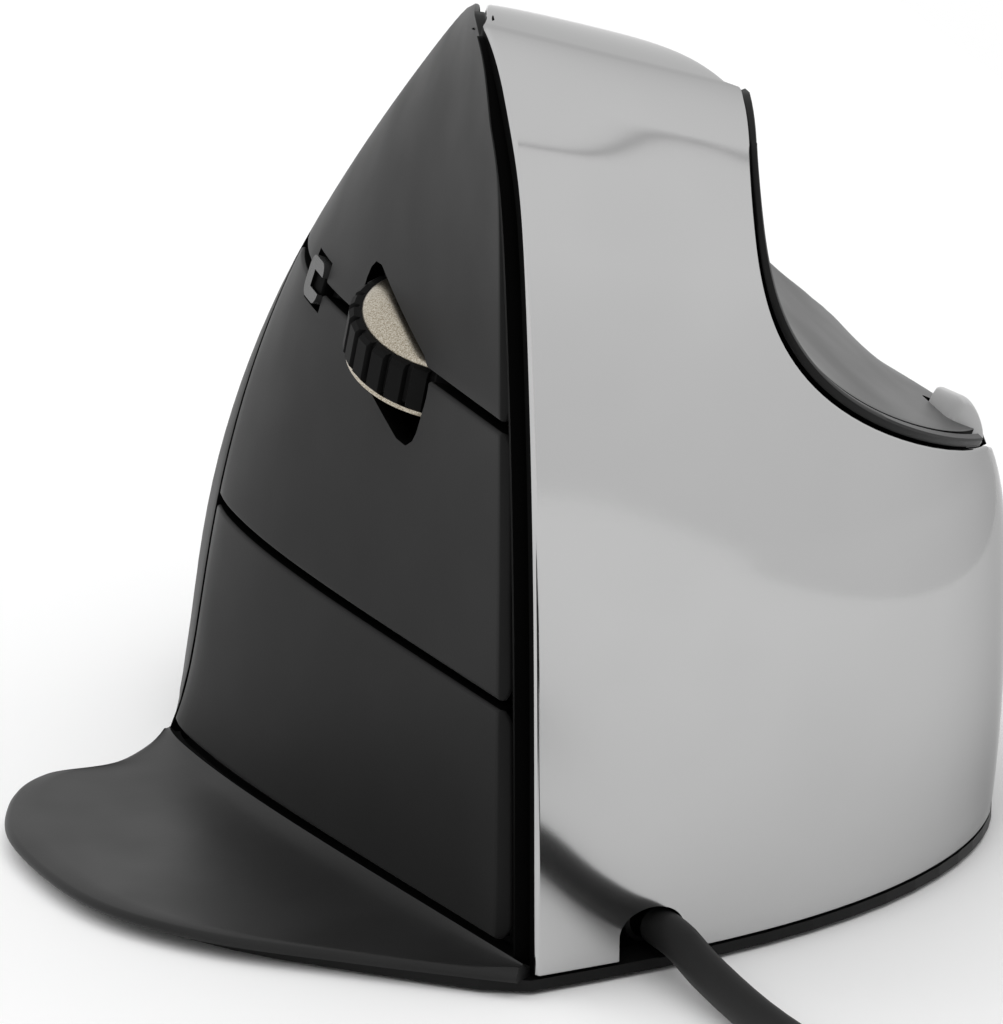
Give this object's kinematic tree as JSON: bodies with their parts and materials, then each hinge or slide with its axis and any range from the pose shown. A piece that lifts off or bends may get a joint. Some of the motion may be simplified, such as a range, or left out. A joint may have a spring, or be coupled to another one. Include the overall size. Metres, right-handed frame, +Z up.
{
  "type": "vertical ergonomic mouse",
  "caption": "Right-hand vertical mouse: dark finger buttons with scroll wheel and speed rocker, glossy silver front, thumb hollow with side buttons, and a cable with its plug.",
  "frame": {"origin": "middle of the mouse's footprint on the desk, without its cable", "axes": "+Z up, -Y the front where the cable leaves, -X the finger side, +X the thumb side"},
  "size_m": [0.0915, 0.2235, 0.0816],
  "materials": {
    "silver": "metallic gloss",
    "soft_dark": "soft-touch satin",
    "thumb_grey": "satin",
    "black": "gloss",
    "gold": "metallic satin",
    "tyre_black": "ribbed matte",
    "steel": "bright",
    "board_green": "satin",
    "pale": "satin",
    "cable_black": "matte",
    "tie_grey": "matte"
  },
  "bodies": {
    "case": {"front_panel": "silver", "side_lip": "soft_dark", "rear_shell": "soft_dark", "thumb_panel": "thumb_grey", "base_plate": "black", "thumb_edge_trim": "black", "button_frame": "black", "wheel_bracket": "black", "wheel_switch": "black", "index_switch": "black", "middle_switch": "black", "ring_switch": "black", "thumb_upper_switch": "black", "thumb_lower_switch": "black", "controller_chip": "black", "sensor": "black", "cable_grommet": "black", "plug_body": "black", "plug_tongue": "black", "index_pivot_pin": "steel", "middle_pivot_pin": "steel", "ring_pivot_pin": "steel", "cradle_pin": "steel", "rocker_pin": "steel", "rocker_switches": "steel", "case_screws": "steel", "board_screws": "steel", "plug_shell": "steel", "button_board": "board_green", "rocker_board": "board_green", "thumb_upper_board": "board_green", "thumb_lower_board": "board_green", "main_board": "board_green", "cable_socket": "pale", "glide_feet": "pale", "sensor_lens": "pale", "cable": "cable_black", "cable_coil": "cable_black", "cable_tail": "cable_black", "coil_tie": "tie_grey"},
    "index_button": {"index_button": "soft_dark"},
    "middle_button": {"middle_button": "soft_dark"},
    "ring_button": {"ring_button": "soft_dark"},
    "index_plunger": {"index_plunger": "pale"},
    "middle_plunger": {"middle_plunger": "pale"},
    "ring_plunger": {"ring_plunger": "pale"},
    "cradle": {"wheel_cradle": "black", "wheel_encoder": "black"},
    "wheel": {"wheel_hub": "gold", "wheel_tyre": "tyre_black", "wheel_axle": "steel"},
    "rocker": {"speed_rocker": "thumb_grey"},
    "thumb_upper": {"thumb_upper_button": "thumb_grey"},
    "thumb_upper_plunger": {"thumb_upper_plunger": "pale"},
    "thumb_lower": {"thumb_lower_button": "thumb_grey"},
    "thumb_lower_plunger": {"thumb_lower_plunger": "pale"}
  },
  "joints": [
    {"name": "index_button_press", "type": "hinge", "parent": "case", "child": "index_button", "pos_m": [-0.0051, 0.011, 0.0523], "axis": [0.5, 0, 0.866], "range_deg": [0, 0.8], "stiffness_Nm_per_rad": 1.5, "springref_deg": -0.46},
    {"name": "middle_button_press", "type": "hinge", "parent": "case", "child": "middle_button", "pos_m": [-0.0132, 0.011, 0.0365], "axis": [0.309, 0, 0.9511], "range_deg": [0, 0.8], "stiffness_Nm_per_rad": 1.5, "springref_deg": -0.46},
    {"name": "ring_button_press", "type": "hinge", "parent": "case", "child": "ring_button", "pos_m": [-0.0183, 0.011, 0.0136], "axis": [0.1908, 0, 0.9816], "range_deg": [0, 0.8], "stiffness_Nm_per_rad": 1.5, "springref_deg": -0.46},
    {"name": "index_plunger_travel", "type": "slide", "parent": "case", "child": "index_plunger", "axis": [0.9707, 0.2241, -0.0872], "range_m": [0, 0.0007]},
    {"name": "middle_plunger_travel", "type": "slide", "parent": "case", "child": "middle_plunger", "axis": [0.9707, 0.2241, -0.0872], "range_m": [0, 0.0007]},
    {"name": "ring_plunger_travel", "type": "slide", "parent": "case", "child": "ring_plunger", "axis": [0.9707, 0.2241, -0.0872], "range_m": [0, 0.0007]},
    {"name": "wheel_click", "type": "hinge", "parent": "case", "child": "cradle", "pos_m": [-0.00192, -0.01127, 0.0514], "axis": [0.0994, -0.309, 0.9458], "range_deg": [0, 3], "stiffness_Nm_per_rad": 0.15, "springref_deg": -2.86},
    {"name": "wheel_turn", "type": "hinge", "parent": "cradle", "child": "wheel", "pos_m": [-0.0072, -0.0203, 0.049], "axis": [0.0994, -0.309, 0.9458], "continuous": true},
    {"name": "rocker_tilt", "type": "hinge", "parent": "case", "child": "rocker", "pos_m": [-0.01075, -0.00024, 0.04846], "axis": [0, 1, 0], "range_deg": [-5, 5], "stiffness_Nm_per_rad": 0.1},
    {"name": "thumb_upper_press", "type": "slide", "parent": "case", "child": "thumb_upper", "axis": [-1, 0, 0], "range_m": [0, 0.0008], "stiffness_N_per_m": 900, "springref_m": -0.0004},
    {"name": "thumb_upper_plunger_travel", "type": "slide", "parent": "case", "child": "thumb_upper_plunger", "axis": [-1, 0, 0], "range_m": [0, 0.0008]},
    {"name": "thumb_lower_press", "type": "slide", "parent": "case", "child": "thumb_lower", "axis": [-0.4848, 0, -0.8746], "range_m": [0, 0.0008], "stiffness_N_per_m": 900, "springref_m": -0.0004},
    {"name": "thumb_lower_plunger_travel", "type": "slide", "parent": "case", "child": "thumb_lower_plunger", "axis": [-0.4848, 0, -0.8746], "range_m": [0, 0.0008]}
  ],
  "couplings": [
    {"joint": "index_plunger_travel", "follows": "index_button_press", "m_per_rad": 0.041},
    {"joint": "middle_plunger_travel", "follows": "middle_button_press", "m_per_rad": 0.047},
    {"joint": "ring_plunger_travel", "follows": "ring_button_press", "m_per_rad": 0.049},
    {"joint": "thumb_upper_plunger_travel", "follows": "thumb_upper_press", "ratio": 1},
    {"joint": "thumb_lower_plunger_travel", "follows": "thumb_lower_press", "ratio": 1}
  ]
}
